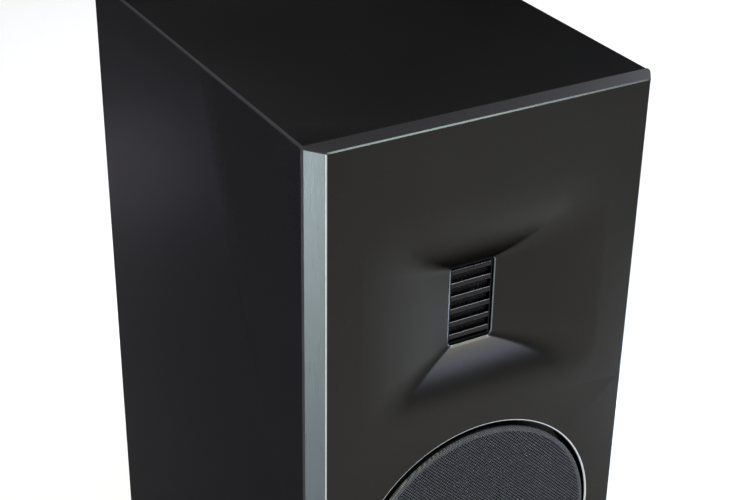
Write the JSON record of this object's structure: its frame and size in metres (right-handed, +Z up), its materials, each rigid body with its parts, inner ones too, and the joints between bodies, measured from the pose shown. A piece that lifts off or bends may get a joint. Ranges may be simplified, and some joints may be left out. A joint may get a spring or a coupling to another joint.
{
  "type": "bookshelf speaker",
  "caption": "Two-way box loudspeaker with a sculpted front baffle, slatted folded-foil tweeter, round removable cloth grille over the woofer, rear port and binding posts.",
  "frame": {"origin": "centre of the whole part's footprint box, on the plane that the rubber feet rest on", "axes": "+Z up, the front baffle faces -Y, +X to the right as seen from the front"},
  "size_m": [0.215, 0.3178, 0.412],
  "materials": {
    "cabinet_paint": "satin black paint over board",
    "top_paint": "near-black satin paint over board",
    "bare_board": "raw fibreboard",
    "baffle_metal": "dark grey satin coat, bright cut bevels",
    "dark_screws": "black-plated",
    "foot_rubber": "matt",
    "wadding": "bonded fibre",
    "port_plastic": "fine satin",
    "terminal_plastic": "satin",
    "post_brass": "bright plated",
    "collar_red": "gloss",
    "collar_black": "gloss",
    "board_green": "solder resist",
    "standoff_nylon": "natural nylon",
    "copper_wire": "enamelled copper winding",
    "capacitor_film": "wrapped film",
    "resistor_cement": "cement",
    "lead_red": "insulation",
    "lead_black": "insulation",
    "basket_metal": "black powder coat",
    "terminal_strip": "laminate",
    "motor_steel": "zinc plated",
    "magnet_ferrite": "sintered",
    "spider_cloth": "resin-dipped cloth",
    "surround_rubber": "satin butyl",
    "cone_pulp": "coated pulp",
    "cap_pulp": "coated pulp",
    "former_film": "polyimide film",
    "insert_plastic": "satin",
    "mesh_wire": "black woven mesh",
    "foil": "film with conductor tracks",
    "chamber_plastic": "moulded",
    "grille_plastic": "moulded",
    "magnet_nickel": "nickel plated",
    "grille_fabric": "woven blue-grey cloth"
  },
  "bodies": {
    "cabinet": {"left_side_panel": "cabinet_paint", "right_side_panel": "cabinet_paint", "bottom_panel": "cabinet_paint", "rear_panel": "cabinet_paint", "top_panel": "top_paint", "inner_baffle": "bare_board", "window_brace": "bare_board", "front_baffle": "baffle_metal", "baffle_screws": "dark_screws", "port_screws": "dark_screws", "terminal_screws": "dark_screws", "board_screws": "dark_screws", "woofer_screws": "dark_screws", "tweeter_screws": "dark_screws", "rubber_feet": "foot_rubber", "damping_lining": "wadding", "port_tube": "port_plastic", "terminal_plate": "terminal_plastic", "post_shafts": "post_brass", "post_collar_left": "collar_red", "post_collar_right": "collar_black", "crossover_board": "board_green", "board_standoffs": "standoff_nylon", "inductors": "copper_wire", "capacitors": "capacitor_film", "resistors": "resistor_cement", "woofer_leads": "lead_red", "terminal_leads": "lead_red", "tweeter_leads": "lead_black", "woofer_basket": "basket_metal", "woofer_terminals": "terminal_strip", "woofer_top_plate": "motor_steel", "woofer_yoke": "motor_steel", "flange_discs": "motor_steel", "tweeter_front_pole": "motor_steel", "tweeter_rear_pole": "motor_steel", "woofer_magnet": "magnet_ferrite", "tweeter_magnets": "magnet_ferrite", "woofer_spider": "spider_cloth", "woofer_surround": "surround_rubber", "tweeter_insert": "insert_plastic", "tweeter_mesh": "mesh_wire", "tweeter_diaphragm": "foil", "tweeter_chamber": "chamber_plastic"},
    "grille": {"grille_frame": "grille_plastic", "grille_pegs": "grille_plastic", "grille_magnets": "magnet_nickel", "grille_cloth": "grille_fabric"},
    "cone": {"woofer_cone": "cone_pulp", "dust_cap": "cap_pulp", "coil_former": "former_film", "coil_winding": "copper_wire"},
    "left_clamp": {"left_washer": "post_brass"},
    "right_clamp": {"right_washer": "post_brass"},
    "left_nut": {"left_thumb_nut": "post_brass"},
    "right_nut": {"right_thumb_nut": "post_brass"}
  },
  "joints": [
    {"name": "grille_pull", "type": "slide", "parent": "cabinet", "child": "grille", "axis": [0, -1, 0], "range_m": [0, 0.06]},
    {"name": "cone_stroke", "type": "slide", "parent": "cabinet", "child": "cone", "axis": [0, -1, 0], "range_m": [-0.005, 0.005], "stiffness_N_per_m": 1100, "deforming": ["woofer_surround", "woofer_spider"]},
    {"name": "left_clamp_slide", "type": "slide", "parent": "cabinet", "child": "left_clamp", "axis": [0, 1, 0], "range_m": [0, 0.00625]},
    {"name": "left_nut_turn", "type": "hinge", "parent": "left_clamp", "child": "left_nut", "pos_m": [-0.019, 0.1489, 0.092], "axis": [0, 1, 0], "range_deg": [0, 1800]},
    {"name": "right_clamp_slide", "type": "slide", "parent": "cabinet", "child": "right_clamp", "axis": [0, 1, 0], "range_m": [0, 0.00625]},
    {"name": "right_nut_turn", "type": "hinge", "parent": "right_clamp", "child": "right_nut", "pos_m": [0.019, 0.1489, 0.092], "axis": [0, 1, 0], "range_deg": [0, 1800]}
  ],
  "couplings": [
    {"joint": "left_clamp_slide", "follows": "left_nut_turn", "m_per_rad": 0.00019894},
    {"joint": "right_clamp_slide", "follows": "right_nut_turn", "m_per_rad": 0.00019894}
  ]
}
